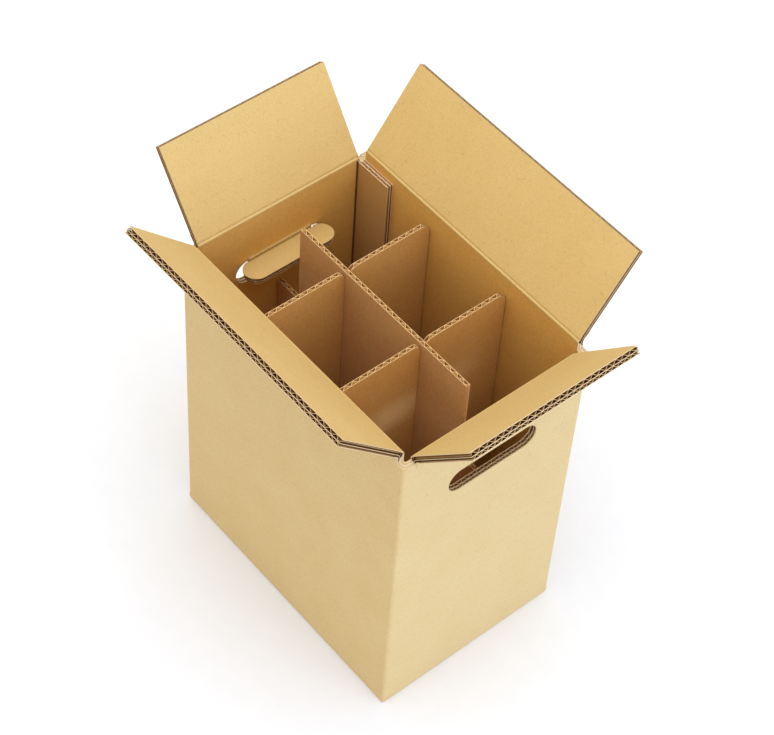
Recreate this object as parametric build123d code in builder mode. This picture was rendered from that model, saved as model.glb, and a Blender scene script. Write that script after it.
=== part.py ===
from build123d import *
import os
from math import atan2, ceil, cos, radians, sin, sqrt, tan

os.makedirs("parts", exist_ok=True)

# A six-cell shipping carton of double-wall corrugated board, standing open. Millimetres, +Z up.
# The origin is the centre of the footprint, on the surface that the carton stands on.
# X runs along the long walls. The end walls, at each end of X, have the hand holes.

# Room inside the walls, and the height of the creases that the end flaps turn on
inner_length = 264.0
inner_width = 176.0
end_crease_height = 333.0

# Papers and flutes of the boards
liner = 0.4
medium = 0.4
fine_flute_height = 2.3
fine_flute_pitch = 6.4
coarse_flute_height = 3.0
coarse_flute_pitch = 7.8

# Flaps: depth from the crease, how far each stops short of the inside corners, and the
# angle above the horizontal that each top flap has sprung to
flap_depth = 87.6
long_flap_inset = 2.0
end_flap_inset = 5.0
near_end_angle = 48.0
near_long_angle = 46.0
far_end_angle = 55.0
far_long_angle = 53.0

# Creases: crushed board leaves a bevel each side of the inner crease line
crease_bevel_angle = 53.0
hinge_gap = 0.3
flap_side_gap = 0.5
slot_drop = 3.0
crease_radius = 1.0
outer_fold_radius = 3.0

# Bottom flaps and the glued corner. The seam between the outer bottom flaps lies a little to
# the far side of the middle, so that the origin is on board.
seam_gap = 1.0
seam_offset = 1.0
bottom_inset = 1.0
glue_tab_width = 38.0
joint_setback = 1.0

# Hand holes, with the cut-out board still hinged along the top edge. The tab's edges taper
# towards its outer face, which lets it swing back through the hole.
hand_hole_length = 91.0
hand_hole_height = 24.5
hand_hole_drop = 49.5
die_cut_gap = 0.4
tab_taper_angle = 10.0
tab_angle = 5.0

# Slotted dividers
divider_flute_height = 3.1
divider_drop = 7.0
divider_pitch = 94.0
divider_wall_gap = 1.0
divider_slot_gap = 0.3
mouth_width = 6.0
mouth_depth = 9.0
divider_chamfer = 7.0
hand_notch_width = 29.0
hand_notch_depth = 86.0

# Worked out from the sizes above
board = 3 * liner + fine_flute_height + coarse_flute_height
divider_board = 2 * liner + divider_flute_height
half_length = inner_length / 2
half_width = inner_width / 2
outer_length = inner_length + 2 * board
outer_width = inner_width + 2 * board
long_crease_height = end_crease_height + board + hinge_gap
bevel_reach = board * tan(radians(crease_bevel_angle))
slot_floor = end_crease_height - slot_drop
bottom_thickness = 2 * board
hand_hole_top = end_crease_height - hand_hole_drop
hand_hole_centre = hand_hole_top - hand_hole_height / 2
divider_top = end_crease_height - divider_drop
divider_height = divider_top - bottom_thickness
divider_slot = divider_board + 2 * divider_slot_gap
corner_reach_x = half_length - long_flap_inset
corner_reach_y = half_width - end_flap_inset
up = Vector(0, 0, 1)


def fold_section(reach, floor, crease, flap_end):
    """Outline of one wall with its bottom flap, drawn across the folds.

    The wall stands at reach, its inner crease at the height crease. Its bottom flap lies with
    its underside at floor and ends at flap_end.
    """
    fold_start = reach + board - outer_fold_radius
    Polyline(
        (fold_start, floor),
        (flap_end, floor),
        (flap_end, floor + board),
        (reach, floor + board),
        (reach, crease),
        (reach + board, crease - bevel_reach),
        (reach + board, floor + outer_fold_radius),
    )
    RadiusArc((reach + board, floor + outer_fold_radius), (fold_start, floor), outer_fold_radius)


def flute_voids(width, middle, height, pitch):
    """Cuts the hollows of one row of flutes: a triangle under each crest, one over each root."""
    half_pitch = pitch / 2
    flank = atan2(height, half_pitch)
    foot = half_pitch - medium / (2 * sin(flank))
    rise = height * foot / half_pitch
    crests = ceil(width / pitch)
    with Locations((0, middle)):
        with GridLocations(pitch, 0, crests, 1):
            with Locations((0, -height / 2)):
                Polygon((-foot, 0), (foot, 0), (0, rise), align=None, mode=Mode.SUBTRACT)
        with GridLocations(pitch, 0, crests - 1, 1):
            with Locations((0, height / 2)):
                Polygon((-foot, 0), (0, -rise), (foot, 0), align=None, mode=Mode.SUBTRACT)


# The carton body: one folded sheet, with its bottom flaps and its corner glued
with BuildPart() as carton:
    with BuildSketch(Plane.XZ):
        with BuildLine():
            fold_section(half_length, board, end_crease_height, half_length - flap_depth)
        make_face()
    extrude(amount=corner_reach_y, both=True)
    mirror(about=Plane.YZ)

    # Long walls; their bottom flaps lie outside and meet along a seam
    with BuildSketch(Plane.YZ):
        with BuildLine():
            fold_section(half_width, 0, long_crease_height, 0)
        make_face()
    extrude(amount=corner_reach_x, both=True)
    mirror(about=Plane.XZ)
    with BuildSketch(Plane.YZ):
        with BuildLine():
            fold_start = half_width + board - outer_fold_radius
            RadiusArc((half_width + board, outer_fold_radius), (fold_start, 0), outer_fold_radius)
            Polyline(
                (fold_start, 0),
                (0, 0),
                (0, board),
                (half_width + board, board),
                (half_width + board, outer_fold_radius),
            )
        make_face()
    extrude(amount=outer_length / 2 - bottom_inset, both=True)
    mirror(about=Plane.XZ)
    with BuildSketch(Plane.XY):
        with Locations((0, seam_offset)):
            Rectangle(outer_length, seam_gap)
    extrude(amount=board, mode=Mode.SUBTRACT)

    # Upright folds at the corners, and the glued tab inside the far long wall
    with BuildSketch(Plane.XY.offset(board)) as corners:
        Rectangle(outer_length, outer_width)
        fillet(corners.vertices().sort_by(lambda v: v.Y - v.X)[:-1], outer_fold_radius)
        RectangleRounded(inner_length, inner_width, crease_radius, mode=Mode.SUBTRACT)
        Rectangle(outer_length, 2 * corner_reach_y, mode=Mode.SUBTRACT)
        Rectangle(2 * corner_reach_x, outer_width, mode=Mode.SUBTRACT)
    extrude(amount=slot_floor - board)
    with BuildSketch(Plane.XY.offset(bottom_thickness)):
        with Locations((-half_length, half_width)):
            Rectangle(glue_tab_width, board, align=(Align.MIN, Align.MAX))
    extrude(amount=slot_floor - bottom_thickness)

    # The open fold behind the end of the far long wall, where the tab turns in under it
    with BuildSketch(Plane.XY.offset(board)):
        with BuildLine():
            RadiusArc((-half_length - board, half_width - board), (-half_length, half_width), board)
            Polyline(
                (-half_length, half_width),
                (-half_length - board, half_width),
                (-half_length - board, half_width - board),
            )
        make_face()
        with Locations((-half_length - board, half_width)):
            Rectangle(joint_setback, board, align=(Align.MIN, Align.MIN))
    extrude(amount=end_crease_height, mode=Mode.SUBTRACT)

    # Hand holes through both end walls
    with BuildSketch(Plane.YZ):
        with Locations((0, hand_hole_centre)):
            SlotOverall(hand_hole_length, hand_hole_height)
    extrude(amount=outer_length / 2, both=True, mode=Mode.SUBTRACT)
carton.part.label = "carton"
export_step(carton.part, "parts/carton.step")


# Top flaps. Each turns on the inner crease of its wall, and its flutes run out to its free edge.
def top_flap(label, outward, reach, crease, width, angle):
    tilt = radians(angle)
    along = up.cross(outward)
    root = Plane(outward * reach + up * crease, x_dir=along, z_dir=outward * cos(tilt) + up * sin(tilt))
    with BuildPart() as flap:
        with BuildSketch(root.offset(hinge_gap)):
            with Locations((0, -board / 2)):
                Rectangle(width, board)
            flute_voids(width, -liner - coarse_flute_height / 2, coarse_flute_height, coarse_flute_pitch)
            flute_voids(width, -board + liner + fine_flute_height / 2, fine_flute_height, fine_flute_pitch)
        extrude(amount=flap_depth - hinge_gap)
        side = Plane(root.origin, x_dir=root.z_dir, z_dir=along)
        with BuildSketch(side):
            with BuildLine():
                Polyline(
                    (hinge_gap, 0),
                    (hinge_gap, board),
                    (hinge_gap + bevel_reach, board),
                    close=True,
                )
            make_face()
        extrude(amount=width, both=True, mode=Mode.SUBTRACT)
    flap.part.label = label
    export_step(flap.part, f"parts/{label}.step")


long_width = 2 * (corner_reach_x - flap_side_gap)
end_width = 2 * (corner_reach_y - flap_side_gap)
top_flap("near_end_flap", Vector(1, 0, 0), half_length, end_crease_height, end_width, near_end_angle)
top_flap("far_end_flap", Vector(-1, 0, 0), half_length, end_crease_height, end_width, far_end_angle)
top_flap("near_long_flap", Vector(0, -1, 0), half_width, long_crease_height, long_width, near_long_angle)
top_flap("far_long_flap", Vector(0, 1, 0), half_width, long_crease_height, long_width, far_long_angle)


# Hand-hole tabs: the board pushed in from each hole, hinged on the inner line of its top edge
def hand_tab(label, outward):
    tilt = radians(tab_angle)
    face = Plane(
        outward * half_length + up * hand_hole_top,
        x_dir=up.cross(outward),
        z_dir=outward * sin(tilt) + up * cos(tilt),
    )
    with BuildPart() as tab:
        with BuildSketch(face):
            with Locations((0, hand_hole_height / 2)):
                SlotOverall(hand_hole_length - 2 * die_cut_gap, hand_hole_height - 2 * die_cut_gap)
        extrude(amount=-board, taper=tab_taper_angle)
    tab.part.label = label
    export_step(tab.part, f"parts/{label}.step")


hand_tab("near_hand_tab", Vector(1, 0, 0))
hand_tab("far_hand_tab", Vector(-1, 0, 0))

# Long divider: slotted from below for the cross dividers, cut back at its top corners so that
# the hand holes stay clear
with BuildPart() as long_divider:
    divider_length = inner_length - 2 * divider_wall_gap
    with BuildSketch(Plane.XY.offset(bottom_thickness)):
        Rectangle(divider_length, divider_board)
        flute_voids(divider_length, 0, divider_flute_height, coarse_flute_pitch)
    extrude(amount=divider_height)
    with BuildSketch(Plane.XZ):
        with Locations((-divider_pitch / 2, bottom_thickness), (divider_pitch / 2, bottom_thickness)):
            Rectangle(divider_slot, divider_height / 2, align=(Align.CENTER, Align.MIN))
        for side in (-1, 1):
            with Locations((side * half_length, divider_top)):
                Rectangle(2 * hand_notch_width, 2 * hand_notch_depth)
    extrude(amount=divider_board, both=True, mode=Mode.SUBTRACT)
long_divider.part.label = "long_divider"
export_step(long_divider.part, "parts/long_divider.step")


# Cross dividers: slotted from above, with a wide mouth that leads the long divider in
def cross_divider(label, position):
    width = inner_width - 2 * divider_wall_gap
    slot_bottom = bottom_thickness + divider_height / 2
    corner_cut = sqrt(2) * divider_chamfer
    with BuildPart() as divider:
        with BuildSketch(Plane.XY.offset(bottom_thickness)):
            with Locations((position, 0)):
                with Locations(Rotation(0, 0, 90)):
                    Rectangle(width, divider_board)
                    flute_voids(width, 0, divider_flute_height, coarse_flute_pitch)
        extrude(amount=divider_height)
        with BuildSketch(Plane.YZ.offset(position)):
            with Locations((0, slot_bottom)):
                Rectangle(divider_slot, divider_height, align=(Align.CENTER, Align.MIN))
            with BuildLine():
                Polyline(
                    (-divider_slot / 2, divider_top - mouth_depth),
                    (divider_slot / 2, divider_top - mouth_depth),
                    (divider_slot / 2 + mouth_width, divider_top),
                    (-divider_slot / 2 - mouth_width, divider_top),
                    close=True,
                )
            make_face()
            for side in (-1, 1):
                with Locations((side * width / 2, divider_top)):
                    Rectangle(corner_cut, corner_cut, rotation=45)
        extrude(amount=divider_board, both=True, mode=Mode.SUBTRACT)
    divider.part.label = label
    export_step(divider.part, f"parts/{label}.step")


cross_divider("near_cross_divider", divider_pitch / 2)
cross_divider("far_cross_divider", -divider_pitch / 2)
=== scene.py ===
from math import cos, pi, radians, sin, sqrt

import bmesh
import bpy
from mathutils import Matrix, Quaternion, Vector


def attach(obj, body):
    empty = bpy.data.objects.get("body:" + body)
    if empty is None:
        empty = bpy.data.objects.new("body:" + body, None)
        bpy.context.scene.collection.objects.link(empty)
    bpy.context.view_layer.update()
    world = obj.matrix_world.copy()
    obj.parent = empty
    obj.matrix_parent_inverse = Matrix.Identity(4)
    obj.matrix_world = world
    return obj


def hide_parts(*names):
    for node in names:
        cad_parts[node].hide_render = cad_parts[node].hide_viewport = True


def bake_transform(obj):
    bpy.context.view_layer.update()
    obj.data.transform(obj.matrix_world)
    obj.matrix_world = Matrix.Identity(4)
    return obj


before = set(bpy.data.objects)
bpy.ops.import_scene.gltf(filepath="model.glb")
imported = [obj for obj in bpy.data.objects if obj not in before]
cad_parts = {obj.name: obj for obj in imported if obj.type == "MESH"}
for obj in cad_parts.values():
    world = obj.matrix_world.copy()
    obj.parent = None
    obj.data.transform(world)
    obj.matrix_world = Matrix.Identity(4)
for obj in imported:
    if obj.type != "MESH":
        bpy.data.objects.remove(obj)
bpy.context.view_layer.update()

# Sizes in millimetres; MM turns them to metres
MM = 0.001
HALF_LENGTH, HALF_WIDTH = 132.0, 88.0
END_CREASE, LONG_CREASE = 333.0, 339.8
BOARD = 6.5
PAPER = 0.46
COARSE_PITCH, FINE_PITCH = 7.8, 6.4
HOLE_TOP = 283.5

# Flaps: half their widths, how far they reach from the crease, how far their boards start from
# it, how much the bevel takes off at the outer face, and how far their ends have curled up
LONG_FLAP_HALF, END_FLAP_HALF = 129.5, 82.5
FLAP_DEPTH, FLAP_START, BEVEL_START, BEVEL, CURL = 87.3, 3.2, 0.5, 8.63, 0.35

# The maker's joint, as the material tells it from the walls: the glued tab's free edge along x,
# its two faces along y, and its fold
GLUED_EDGE, GLUED_FACE, GLUED_BACK, GLUED_FOLD = -93.5, 81.5, 87.9, -130.9

# Dividers: their floor and top, where the cross dividers stand, half a slot's width and its end,
# the long divider's end notches, and the cross dividers' mouths and cut corners
FLOOR_OF_CELLS, DIVIDER_TOP = 13.0, 326.0
CROSS_PLACE, SLOT_HALF, SLOT_END = 47.0, 2.25, 169.5
NOTCH_START, NOTCH_TOP = 103.0, 240.0
MOUTH_RADIUS, MOUTH_DEPTH, CORNER_START = 7.0, 9.5, 80.0

# A board's material slots. Solidify gives the back of a paper the slot two on from its front,
# which is the dull inside of the board, and its cut edge the slot one on.
INSIDE, FLUTE, OUTSIDE, MIDDLE = 0, 2, 5, 8

# Papers of the boards from the inside out: middle depth, half height, pitch and slot.
# A liner has no height.
DOUBLE_WALL = [
    (0.23, 0.0, 0.0, INSIDE),
    (1.915, 1.225, COARSE_PITCH, FLUTE),
    (3.6, 0.0, 0.0, MIDDLE),
    (4.935, 0.875, FINE_PITCH, FLUTE),
    (6.27, 0.0, 0.0, OUTSIDE),
]
SINGLE_WALL = [(-1.72, 0.0, 0.0, INSIDE), (0.0, 1.26, COARSE_PITCH, FLUTE), (1.72, 0.0, 0.0, INSIDE)]

# Kraft papers: base, pale clouds, and dark fibres and specks. The long divider is drawn a little
# browner than the cross dividers.
INNER_KRAFT = ("#CEAC69", "#D6B776", "#9C773E")
# Painted shade: the walls' inner liner is the flaps' inner paper drawn deeper and more saturated
SHADED_WALL_KRAFT = ("#D9A753", "#DFB15F", "#A4732F")
OUTER_KRAFT = ("#CFB27A", "#D5BD88", "#AC874F")
LONG_DIVIDER_KRAFT = ("#C6995F", "#D2A56F", "#926440")
CROSS_DIVIDER_KRAFT = ("#D3A158", "#DFAF67", "#9B6A3B")
CUT_KRAFT = ("#D6BE91", "#DECAA5", "#A7814E")
FLUTE_KRAFT = ("#80551F", "#8C602A", "#573813")
FLUTE_CUT_KRAFT = ("#BC9565", "#C7A473", "#885F32")
DIVIDER_CUT_KRAFT = ("#DDB67E", "#E5C491", "#A67B46")
DIVIDER_FLUTE_KRAFT = ("#C0904E", "#CA9C5C", "#7C5628")
# Painted shade: the dark hollows between flutes on the carton's flat cut edges, lighter on the glued tab,
# the glued tab's face drawn darker, and the shade in its crease
HOLLOW_SHADE, TAB_HOLLOW_SHADE, CREASE_SHADE, GLUED_TAB_PAINTED_SHADE = "#5C3A18", "#7A5430", "#74491F", "#7F5E52"

# How deep the fine relief of a liner and of a cut edge looks, in metres
LINER_RELIEF, EDGE_RELIEF = 0.00012, 0.0002


# Materials

def colour(hex_code):
    """Turns an sRGB hex colour to the linear values that the shaders use."""
    channels = [int(hex_code[i:i + 2], 16) / 255 for i in (1, 3, 5)]
    return [c / 12.92 if c <= 0.04045 else ((c + 0.055) / 1.055) ** 2.4 for c in channels] + [1.0]


def new_material(name):
    material = bpy.data.materials.new(name)
    material.use_nodes = True
    material.node_tree.nodes.clear()
    return material, material.node_tree


def add(tree, kind, settings=None, **links):
    """Adds one node. Settings are its properties; links give its inputs a socket or a value."""
    node = tree.nodes.new(kind)
    for key, value in (settings or {}).items():
        setattr(node, key, value)
    for key, value in links.items():
        socket = node.inputs[int(key[1:])] if key[1:].isdigit() else node.inputs[key.replace("_", " ")]
        if isinstance(value, bpy.types.NodeSocket):
            tree.links.new(value, socket)
        else:
            socket.default_value = value
    return node.outputs


def maths(tree, operation, *values):
    links = {f"i{i}": v for i, v in enumerate(values)}
    return add(tree, "ShaderNodeMath", {"operation": operation}, **links)[0]


def blend_colours(tree, factor, a, b):
    return add(tree, "ShaderNodeMix", {"data_type": "RGBA"}, i0=factor, i6=a, i7=b)[2]


def kraft_pattern(tree, place):
    """What all kraft has: pale clouds about 36 mm wide, fibres under 1 mm wide and 3 mm long, and
    dark specks about 3 mm apart. The fibres are coarser than real ones, so that they show."""
    clouds = add(tree, "ShaderNodeTexNoise", Vector=place, Scale=28.0, Detail=4.0, Roughness=0.6)[0]
    fibre_place = add(tree, "ShaderNodeMapping", Vector=place, Scale=(1300.0, 1300.0, 380.0))[0]
    fibres = add(tree, "ShaderNodeTexNoise", Vector=fibre_place, Scale=1.0, Detail=3.0)[0]
    specks = add(tree, "ShaderNodeTexNoise", Vector=place, Scale=330.0, Detail=3.0, Roughness=0.7)[0]
    speck_mask = add(tree, "ShaderNodeMapRange", Value=specks, i1=0.58, i2=0.76)[0]
    return clouds, fibres, speck_mask


def kraft_tone(tree, pattern, kraft):
    base, pale, dark = (colour(hex_code) for hex_code in kraft)
    clouds, fibres, speck_mask = pattern
    tone = blend_colours(tree, clouds, base, pale)
    fibre_mask = add(tree, "ShaderNodeMapRange", Value=fibres, i1=0.35, i2=0.75, i4=0.3)[0]
    tone = blend_colours(tree, fibre_mask, tone, dark)
    return blend_colours(tree, maths(tree, "MULTIPLY", speck_mask, 0.4), tone, dark)


def paper_surface(tree, tone, relief, depth):
    bump = add(tree, "ShaderNodeBump", Height=relief, Distance=depth, Strength=1.0)[0]
    shader = add(
        tree, "ShaderNodeBsdfPrincipled",
        Base_Color=tone, Roughness=0.82, Normal=bump, IOR=1.47, Specular_IOR_Level=0.3,
    )[0]
    add(tree, "ShaderNodeOutputMaterial", Surface=shader)


def liner_relief(tree, pattern, along):
    """Fibres and slow waves, with faint ribs where the liner has sunk between the flutes."""
    ribs = maths(tree, "COSINE", maths(tree, "MULTIPLY", along, 2 * pi / (COARSE_PITCH * MM)))
    relief = maths(tree, "MULTIPLY_ADD", ribs, 0.12, pattern[1])
    return maths(tree, "MULTIPLY_ADD", pattern[0], 4.0, relief)


def kraft_liner(name, kraft, axis):
    """Kraft liner glued to flutes that cross the given axis: matt, fibrous and faintly ribbed."""
    material, tree = new_material(name)
    place = add(tree, "ShaderNodeTexCoord")["Object"]
    along = add(tree, "ShaderNodeSeparateXYZ", Vector=place)[axis]
    pattern = kraft_pattern(tree, place)
    paper_surface(tree, kraft_tone(tree, pattern, kraft), liner_relief(tree, pattern, along), LINER_RELIEF)
    return material


def plain_kraft(name, kraft):
    """Kraft without ribs: the pale torn fibres of a cut edge, or the dull brown flutes in a board."""
    material, tree = new_material(name)
    pattern = kraft_pattern(tree, add(tree, "ShaderNodeTexCoord")["Object"])
    paper_surface(tree, kraft_tone(tree, pattern, kraft), pattern[1], EDGE_RELIEF)
    return material


def beyond(tree, value, limit):
    """How far a value is past a limit, and nothing where it falls short."""
    return maths(tree, "MAXIMUM", maths(tree, "SUBTRACT", value, limit), 0.0)


def all_of(tree, mask, *others):
    for other in others:
        mask = maths(tree, "MULTIPLY", mask, other)
    return mask


def any_of(tree, mask, *others):
    for other in others:
        mask = maths(tree, "MAXIMUM", mask, other)
    return mask


def sliced_board(tree, depth, along, at_corner, hollow_shade, edge):
    """A cut edge of double-wall board: liners and flutes over hollows painted dark as their shade. The
    corner folds are crushed shut, so their flutes show as thin brown lines."""
    flute_colour = colour(FLUTE_CUT_KRAFT[0])
    liners = any_of(
        tree, maths(tree, "COMPARE", depth, 3.6, 0.45),
        maths(tree, "LESS_THAN", depth, 0.8), maths(tree, "GREATER_THAN", depth, 5.7),
    )
    flutes = 0.0
    for middle, half, pitch in ((1.9, 1.3, COARSE_PITCH), (4.95, 0.95, FINE_PITCH)):
        crest = maths(tree, "SINE", maths(tree, "MULTIPLY", along, 2 * pi / (pitch * MM)))
        wave = maths(tree, "MULTIPLY_ADD", crest, half, middle)
        flutes = any_of(tree, maths(tree, "COMPARE", depth, wave, 0.36), flutes)
    sliced = blend_colours(tree, flutes, hollow_shade, flute_colour)
    sliced = blend_colours(tree, liners, sliced, edge)
    pressed = any_of(
        tree, maths(tree, "COMPARE", depth, 1.9, 0.3), maths(tree, "COMPARE", depth, 4.9, 0.25),
    )
    return blend_colours(tree, at_corner, sliced, blend_colours(tree, pressed, edge, flute_colour))


def carton_board(name):
    """The carton's own board: inner and outer kraft liners with painted shade on the walls' inside,
    and where it is cut through, the ends of both rows of flutes over hollows painted dark as shade."""
    material, tree = new_material(name)
    place = add(tree, "ShaderNodeTexCoord")["Object"]
    x, y, z = add(tree, "ShaderNodeSeparateXYZ", Vector=place)[:3]
    x_size, y_size = maths(tree, "ABSOLUTE", x), maths(tree, "ABSOLUTE", y)

    # How deep a point lies in the walls, from their inner face
    under = beyond(tree, BOARD * MM, z)
    in_bottom = maths(tree, "GREATER_THAN", under, 0.0)
    in_walls = maths(tree, "SUBTRACT", 1.0, in_bottom)
    past_end = all_of(tree, beyond(tree, x_size, HALF_LENGTH * MM), in_walls)
    past_side = beyond(tree, y_size, HALF_WIDTH * MM)
    past = add(tree, "ShaderNodeCombineXYZ", X=past_end, Y=past_side, Z=under)[0]
    wall_depth = add(tree, "ShaderNodeVectorMath", {"operation": "LENGTH"}, i0=past)[1]

    # The glued tab inside the far long wall is a second board, measured from its own face
    on_tab = maths(tree, "LESS_THAN", x, GLUED_EDGE * MM)
    before_wall = maths(tree, "LESS_THAN", y, GLUED_BACK * MM)
    tab_depth = all_of(tree, beyond(tree, y, GLUED_FACE * MM), before_wall, on_tab)
    depth = maths(tree, "MULTIPLY", maths(tree, "MAXIMUM", wall_depth, tab_depth), 1 / MM)

    # Flutes stand upright in the walls, so they are counted along y in the end walls
    in_end_wall = maths(tree, "GREATER_THAN", past_end, 0.00001)
    along = add(tree, "ShaderNodeMix", {"data_type": "FLOAT"}, i0=in_end_wall, i2=x, i3=y)[0]

    # The posts at the corners lie past both kinds of flap
    at_corner = all_of(
        tree, maths(tree, "GREATER_THAN", x_size, (LONG_FLAP_HALF + 0.4) * MM),
        maths(tree, "GREATER_THAN", y_size, (END_FLAP_HALF + 0.4) * MM),
    )
    cut = all_of(tree, maths(tree, "COMPARE", depth, BOARD / 2, BOARD / 2 - 0.16), in_walls)
    outside = any_of(tree, maths(tree, "GREATER_THAN", wall_depth, BOARD / 2 * MM), in_bottom)
    pattern = kraft_pattern(tree, place)
    # The walls' inner tone is painted shade, a deeper copy of the flaps' inner liner
    papers = (SHADED_WALL_KRAFT, OUTER_KRAFT, CUT_KRAFT)
    inner, outer, edge = (kraft_tone(tree, pattern, kraft) for kraft in papers)

    # Painted shade: the glued tab's face is drawn darker and pinker than the wall, and the deep crease
    # that it turns on darker still
    shaded_tab_face = all_of(tree, on_tab, maths(tree, "COMPARE", y, 84.0 * MM, 3.9 * MM))
    inner = blend_colours(tree, maths(tree, "MULTIPLY", shaded_tab_face, 0.4), inner, colour(GLUED_TAB_PAINTED_SHADE))
    crease_shade_mask = all_of(tree, shaded_tab_face, maths(tree, "LESS_THAN", x, GLUED_FOLD * MM))
    inner = blend_colours(tree, crease_shade_mask, inner, colour(CREASE_SHADE))
    # Painted shade: the hollows between the flutes of a cut edge, lighter on the glued tab
    hollow_shade = blend_colours(tree, on_tab, colour(HOLLOW_SHADE), colour(TAB_HOLLOW_SHADE))
    sliced = sliced_board(tree, depth, along, at_corner, hollow_shade, edge)
    tone = blend_colours(tree, cut, blend_colours(tree, outside, inner, outer), sliced)
    paper_surface(tree, tone, liner_relief(tree, pattern, along), LINER_RELIEF)
    return material


cut_kraft = plain_kraft("cut_kraft_edge", CUT_KRAFT)
flute_kraft = plain_kraft("flute_kraft", FLUTE_KRAFT)
divider_cut_kraft = plain_kraft("cut_divider_edge", DIVIDER_CUT_KRAFT)
divider_flute_kraft = plain_kraft("divider_flute_kraft", DIVIDER_FLUTE_KRAFT)
flute_cut_kraft = plain_kraft("cut_flute_edge", FLUTE_CUT_KRAFT)
carton_kraft = carton_board("double_wall_kraft_board")


def board_materials(inside, outside, flute, cut, flute_cut):
    """The slots of a board, in the order that INSIDE, FLUTE, OUTSIDE and MIDDLE count on."""
    return [inside, cut, flute, flute_cut, flute, outside, cut, flute, flute, cut, flute]


BOARDS, DIVIDERS = {}, {}
DIRECTIONS = ((0, "x", LONG_DIVIDER_KRAFT), (1, "y", CROSS_DIVIDER_KRAFT))
for axis, letter, divider_kraft in DIRECTIONS:
    inner_liner = kraft_liner("inner_kraft_liner_" + letter, INNER_KRAFT, axis)
    outer_liner = kraft_liner("outer_kraft_liner_" + letter, OUTER_KRAFT, axis)
    divider_liner = kraft_liner("divider_kraft_liner_" + letter, divider_kraft, axis)
    BOARDS[letter] = board_materials(inner_liner, outer_liner, flute_kraft, cut_kraft, flute_cut_kraft)
    DIVIDERS[letter] = board_materials(
        divider_liner, divider_liner, divider_flute_kraft, divider_cut_kraft, divider_cut_kraft,
    )


# Pieces

def finish_piece(bm, name, materials, rounding=0):
    """Closes a bmesh into an object, and gives its papers their thickness."""
    mesh = bpy.data.meshes.new(name)
    bm.to_mesh(mesh)
    bm.free()
    piece = bpy.data.objects.new(name, mesh)
    bpy.context.scene.collection.objects.link(piece)
    for material in materials:
        mesh.materials.append(material)
    if rounding:
        soft = piece.modifiers.new("rounding", "SUBSURF")
        soft.levels = soft.render_levels = rounding
    paper = piece.modifiers.new("paper", "SOLIDIFY")
    paper.thickness = PAPER * MM
    paper.offset = 0.0
    paper.use_even_offset = True
    paper.material_offset = 2
    paper.material_offset_rim = 1
    return piece


def add_paper(bm, columns, rows, point, slot, flip, smooth=True):
    """Adds one paper as a grid, and lays each of its points by its place across and along."""
    made = bmesh.ops.create_grid(bm, x_segments=len(columns) - 1, y_segments=rows, size=0.5)
    faces = list({face for vert in made["verts"] for face in vert.link_faces})
    for vert in made["verts"]:
        across = columns[round((vert.co.x + 0.5) * (len(columns) - 1))]
        vert.co = point(across, vert.co.y + 0.5)
    for face in faces:
        face.material_index = slot
        face.smooth = smooth
    if flip:
        bmesh.ops.reverse_faces(bm, faces=faces)


def board_columns(half_width, pitch, marks=()):
    """Where a paper gets its columns: ten to each flute, or every 12 mm on a flat liner."""
    step = pitch / 10 if pitch else 12.0
    count = int(2 * half_width / step)
    regular = [-half_width + 2 * half_width * i / count for i in range(count + 1)]
    kept = [c for c in regular if all(abs(c - m) > 0.05 for m in marks)]
    return sorted(kept + list(marks))


def build_board(
    name, papers, half_width, low, high, place, materials, marks=(), bow=0.0, narrowing=0.0,
):
    """A board with real flutes. Low and high give where it starts and ends along the flutes.

    Bow is how far the middle of its end has curled up, and narrowing is how much each
    millimetre of depth takes off its width, as a share.
    """
    bm = bmesh.new()
    rows = 6 if bow else 1
    for middle, half, pitch, slot in papers:
        def point(across, share):
            depth = middle + (half * sin(2 * pi * across / pitch) if pitch else 0.0)
            across *= 1 - narrowing * depth
            start, end = low(across, depth), high(across, depth)
            lift = bow * cos(pi * across / (2 * half_width)) * share ** 2
            return place @ Vector((across, depth - lift, start + share * (end - start))) * MM
        faces_out = 1 if middle == papers[-1][0] else -1
        flip = faces_out * place.determinant() > 0
        add_paper(bm, board_columns(half_width, pitch, marks), rows, point, slot, flip, smooth=pitch > 0)
    return finish_piece(bm, name, materials)


def flap_place(outward, reach, crease, rise):
    """Turns (along the crease, depth from the inner face, out along the flap) to millimetres."""
    tilt = radians(rise)
    out = outward * cos(tilt) + Vector((0, 0, 1)) * sin(tilt)
    along = Vector((0, 0, 1)).cross(outward)
    under = along.cross(out)
    root = outward * reach + Vector((0, 0, crease))
    return Matrix.Translation(root) @ Matrix((along, under, out)).transposed().to_4x4()


# The outer papers' arc in a fold starts this far from level, and turns this much more than the
# flap rises, in degrees
FOLD_START, FOLD_EXTRA = -53, 16


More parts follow.
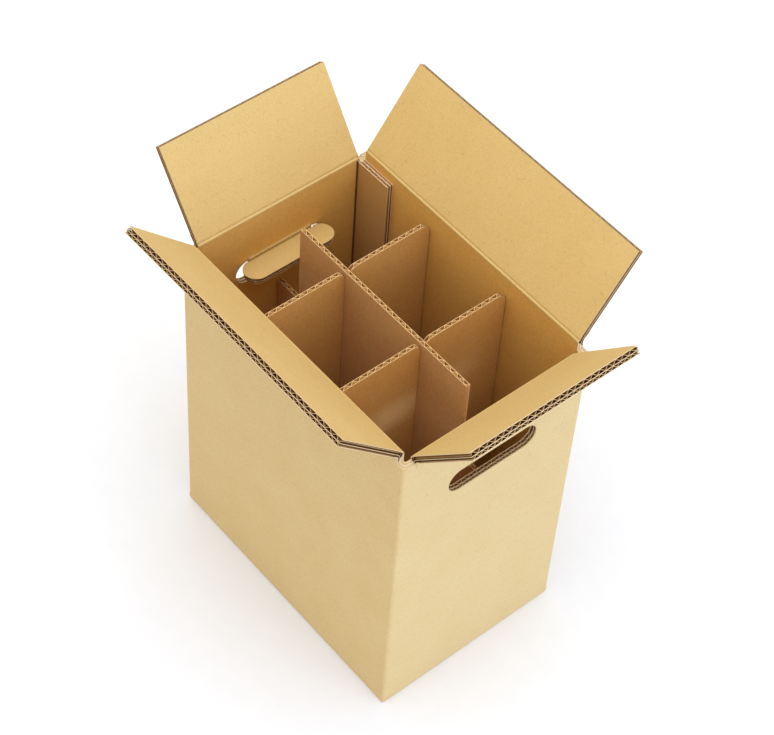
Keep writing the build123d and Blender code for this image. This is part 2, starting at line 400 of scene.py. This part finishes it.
def build_crease(name, half_width, outward, reach, crease, rise, materials):
    """The three liners where they run through the fold from the wall into the flap."""
    up = Vector((0, 0, 1))
    along = up.cross(outward)
    out_angle = radians(rise)
    root = outward * reach + up * crease

    def on_wall(depth, down):
        return outward * depth - up * down

    def on_flap(depth, out):
        direction = outward * cos(out_angle) + up * sin(out_angle)
        under = outward * sin(out_angle) - up * cos(out_angle)
        return direction * out + under * depth

    def in_fold(radius, share):
        turn = radians(FOLD_START) + share * (out_angle + radians(FOLD_EXTRA))
        return outward * radius * cos(turn) + up * radius * sin(turn)

    # Each liner's ends dive a little into the wall and the flap, so that no step shows
    inner = [
        on_wall(0.5, 4.5), on_wall(0.32, 3.0), on_wall(0.22, 1.6), on_wall(0.1, 0.3),
        on_flap(0.1, 0.5), on_flap(1.1, 1.7), on_flap(0.28, 2.8), on_flap(0.23, 3.8), on_flap(0.5, 6.5),
    ]
    middle = [
        on_wall(3.6, 7), on_wall(3.6, 5), in_fold(4.4, 0.35), in_fold(4.4, 0.65),
        on_flap(3.6, 5), on_flap(3.6, 7),
    ]
    outer = [
        on_wall(6.0, 12.0), on_wall(6.26, 9.6), on_wall(6.28, 8.2),
        in_fold(6.5, 0.25), in_fold(6.45, 0.5), in_fold(6.45, 0.75),
        on_flap(6.28, 8.6), on_flap(6.27, 10.0), on_flap(6.0, 13),
    ]
    # It is a little wider than the flap, so that no light shows past its ends
    columns = board_columns(half_width + 0.3, 0.0)
    bm = bmesh.new()
    for path, slot, flip in ((inner, INSIDE, True), (middle, MIDDLE, False), (outer, OUTSIDE, False)):
        def point(across, share):
            return (root + along * across + path[round(share * (len(path) - 1))]) * MM
        add_paper(bm, columns, len(path) - 1, point, slot, flip)
    piece = finish_piece(bm, name, materials, rounding=2)
    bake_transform(piece)
    return piece


# Each flap: node, way out, reach and height of its crease, half width, degrees above level, and
# its board's materials
FLAPS = [
    ("near_end_flap", Vector((1, 0, 0)), HALF_LENGTH, END_CREASE, END_FLAP_HALF, 48.0, BOARDS["y"]),
    ("far_end_flap", Vector((-1, 0, 0)), HALF_LENGTH, END_CREASE, END_FLAP_HALF, 55.0, BOARDS["y"]),
    ("near_long_flap", Vector((0, -1, 0)), HALF_WIDTH, LONG_CREASE, LONG_FLAP_HALF, 46.0, BOARDS["x"]),
    ("far_long_flap", Vector((0, 1, 0)), HALF_WIDTH, LONG_CREASE, LONG_FLAP_HALF, 53.0, BOARDS["x"]),
]
for node, outward, reach, crease, half_width, rise, materials in FLAPS:
    flap = build_board(
        node + "_board", DOUBLE_WALL, half_width,
        lambda across, depth: max(FLAP_START, BEVEL_START + BEVEL * depth / BOARD),
        lambda across, depth: FLAP_DEPTH,
        flap_place(outward, reach, crease, rise), materials, bow=CURL,
    )
    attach(flap, node)
    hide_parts(node)
    build_crease(node.replace("flap", "crease"), half_width, outward, reach, crease, rise, materials)


# Hand-hole tabs: the same board with rounded ends, its edges sloped back by the die, and the
# strip of inner liner that each still hangs by. Middle is how far from the crease the ends are
# centred, and rise is in degrees above level.
TAB_STRAIGHT, TAB_RADIUS, TAB_SLOPE, TAB_MIDDLE, TAB_RISE = 33.25, 11.85, 0.176, 12.25, 5.0


def tab_half_height(across, depth):
    past = max(abs(across) - TAB_STRAIGHT, 0.0)
    return sqrt(max((TAB_RADIUS - depth * TAB_SLOPE) ** 2 - past ** 2, 0.01))


def tab_low(across, depth):
    start = 2.0 if abs(across) < TAB_STRAIGHT else 0.0
    return max(start, TAB_MIDDLE - tab_half_height(across, depth))


def tab_high(across, depth):
    return TAB_MIDDLE + tab_half_height(across, depth)


round_ends = [
    side * (TAB_STRAIGHT + TAB_RADIUS * sin(radians(turn))) for side in (-1, 1) for turn in range(0, 80, 8)
]
for node, outward in (("near_hand_tab", Vector((1, 0, 0))), ("far_hand_tab", Vector((-1, 0, 0)))):
    up, tilt = Vector((0, 0, 1)), radians(TAB_RISE)
    inward = outward * -cos(tilt) + up * sin(tilt)
    along = up.cross(outward)
    under = outward * -sin(tilt) - up * cos(tilt)
    root = outward * HALF_LENGTH + up * HOLE_TOP
    tab = build_board(
        node + "_board", DOUBLE_WALL, TAB_STRAIGHT + TAB_RADIUS - 0.05, tab_low, tab_high,
        Matrix.Translation(root) @ Matrix((along, under, inward)).transposed().to_4x4(), BOARDS["y"],
        marks=round_ends, narrowing=TAB_SLOPE / (TAB_STRAIGHT + TAB_RADIUS),
    )
    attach(tab, node)
    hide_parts(node)

    # From inside the wall over the pressed lip, through the groove and on into the tab
    path = [
        outward * 0.6 + up * 5.0, outward * 0.22 + up * 3.6, inward * 0.75 + up * 2.0,
        inward * 0.7 + up * 1.0, outward * 0.4 + under * 0.3, inward * 0.3 + under * 2.2,
        inward * 1.3 + under * 1.8, inward * 2.2 + under * 0.3, inward * 3.4 + under * 0.22,
        inward * 5.0 + under * 0.5,
    ]

    def hinge_point(across, share):
        return (root + along * across + path[round(share * (len(path) - 1))]) * MM

    bm = bmesh.new()
    add_paper(bm, board_columns(TAB_STRAIGHT, 0.0), len(path) - 1, hinge_point, INSIDE, False)
    hinge = finish_piece(bm, node + "_crease", BOARDS["y"], rounding=2)
    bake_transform(hinge)


# Dividers, slotted half way into each other
def long_divider_low(across, depth):
    return SLOT_END if abs(abs(across) - CROSS_PLACE) < SLOT_HALF + 0.01 else FLOOR_OF_CELLS


def long_divider_high(across, depth):
    return NOTCH_TOP if abs(across) > NOTCH_START - 0.01 else DIVIDER_TOP


def cross_divider_high(across, depth):
    """Its top dips into a rounded mouth at the middle slot, and its corners are cut off."""
    off = abs(across)
    if off < SLOT_HALF + 0.01:
        return SLOT_END
    mouth = max(0.0, 1 - (off - SLOT_HALF) / MOUTH_RADIUS)
    corner = max(0.0, off - CORNER_START)
    return DIVIDER_TOP - MOUTH_DEPTH * (1 - sqrt(1 - mouth ** 2)) - corner


# Columns close to each side of a slot, notch or mouth keep its edges sharp
slot_marks = [side * (CROSS_PLACE + edge) for side in (-1, 1) for edge in (-2.3, -2.2, 2.2, 2.3)]
end_marks = [side * edge for side in (-1, 1) for edge in (102.95, 103.05)]
mouth_marks = [
    side * edge for side in (-1, 1) for edge in (2.2, 2.3, 2.8, 3.6, 4.6, 6.0, 7.6, 9.25, CORNER_START)
]
long_divider = build_board(
    "long_divider_board", SINGLE_WALL, 131.0, long_divider_low, long_divider_high,
    Matrix.Identity(4), DIVIDERS["x"], marks=slot_marks + end_marks,
)
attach(long_divider, "box")
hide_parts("long_divider")
for node, position in (("near_cross_divider", CROSS_PLACE), ("far_cross_divider", -CROSS_PLACE)):
    divider = build_board(
        node + "_board", SINGLE_WALL, 87.0, lambda across, depth: FLOOR_OF_CELLS, cross_divider_high,
        Matrix.Translation((position, 0, 0)) @ Matrix.Rotation(pi / 2, 4, "Z"), DIVIDERS["y"],
        marks=mouth_marks,
    )
    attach(divider, "box")
    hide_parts(node)

# The outer liner where the bottom fold of each end wall is pressed down over the flaps under it
for name, side in (("near_end_bottom_fold", 1), ("far_end_bottom_fold", -1)):
    outward = Vector((side, 0, 0))
    across_wall = Vector((0, 0, 1)).cross(outward)
    edge = HALF_LENGTH + BOARD
    profile = [
        (edge - 0.6, 22), (edge - 0.24, 16), (edge - 0.22, 9), (edge - 0.22, 4),
        (edge - 0.3, 2.2), (edge - 1.2, 1.1),
    ]

    def fold_point(across, share):
        reach, height = profile[round((1 - share) * (len(profile) - 1))]
        # Its ends dive into the rounded corners of the box
        reach -= 0.13 * max(abs(across) - HALF_WIDTH, 0.0) ** 2
        return (outward * reach + across_wall * across + Vector((0, 0, height))) * MM

    bm = bmesh.new()
    columns = board_columns(HALF_WIDTH + 3, 0.0, (-HALF_WIDTH, HALF_WIDTH))
    add_paper(bm, columns, len(profile) - 1, fold_point, OUTSIDE, False)
    fold = finish_piece(bm, name, BOARDS["y"], rounding=2)
    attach(fold, "box")

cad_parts["carton"].data.materials.clear()
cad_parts["carton"].data.materials.append(carton_kraft)


# Floor, light and camera, in metres and watts
# The floor's paper: matt and nearly white, so that the box's own soft shade is all that shows on it
white_paper, tree = new_material("white_studio_paper")
place = add(tree, "ShaderNodeTexCoord")["Object"]
grain = add(tree, "ShaderNodeTexNoise", Vector=place, Scale=60.0)[0]
shade = blend_colours(tree, grain, colour("#EAEAEA"), colour("#EEEEEE"))
shader = add(tree, "ShaderNodeBsdfPrincipled", Base_Color=shade, Roughness=0.9)[0]
add(tree, "ShaderNodeOutputMaterial", Surface=shader)
bm = bmesh.new()
bmesh.ops.create_grid(bm, x_segments=1, y_segments=1, size=6.0)
mesh = bpy.data.meshes.new("studio_floor")
bm.to_mesh(mesh)
bm.free()
mesh.materials.append(white_paper)
floor = bpy.data.objects.new("studio_floor", mesh)
bpy.context.scene.collection.objects.link(floor)

world = bpy.data.worlds.new("studio")
bpy.context.scene.world = world
world.use_nodes = True
world.node_tree.nodes["Background"].inputs[0].default_value = colour("#FFFFFF")
world.node_tree.nodes["Background"].inputs[1].default_value = 0.93


def soft_box(name, place, aim, width, height, power, tint):
    lamp = bpy.data.lights.new(name, "AREA")
    lamp.shape = "RECTANGLE"
    lamp.size = width
    lamp.size_y = height
    lamp.energy = power
    lamp.color = colour(tint)[:3]
    light = bpy.data.objects.new(name, lamp)
    light.location = place
    light.rotation_euler = (Vector(aim) - Vector(place)).to_track_quat("-Z", "Y").to_euler()
    bpy.context.scene.collection.objects.link(light)


soft_box("overhead_soft_box", (0.2, -0.2, 3.0), (0, 0, 0.3), 2.6, 2.6, 48.0, "#F2F6FF")
soft_box("key_soft_box", (5.32, 0.57, 1.05), (0, 0, 0.2), 4.56, 1.71, 184.0, "#AECAFF")
soft_box("side_soft_box", (-0.6, -2.8, 0.9), (0, 0, 0.2), 1.2, 1.2, 3.0, "#FFFFFF")

# The camera's place, aim and lens were worked out from corners and edges of the box in the photo
camera = bpy.data.objects.new("camera", bpy.data.cameras.new("camera"))
camera.location = (0.86827, -0.80254, 1.67897)
look = Vector((-0.465521, 0.435266, -0.770606)).to_track_quat("-Z", "Y")
camera.rotation_euler = (look @ Quaternion((0, 0, 1), radians(4.48))).to_euler()
camera.data.sensor_width = 36.0
camera.data.lens = 105.87
camera.data.clip_end = 50.0
bpy.context.scene.collection.objects.link(camera)
bpy.context.scene.camera = camera
bpy.context.scene.view_settings.view_transform = "Standard"
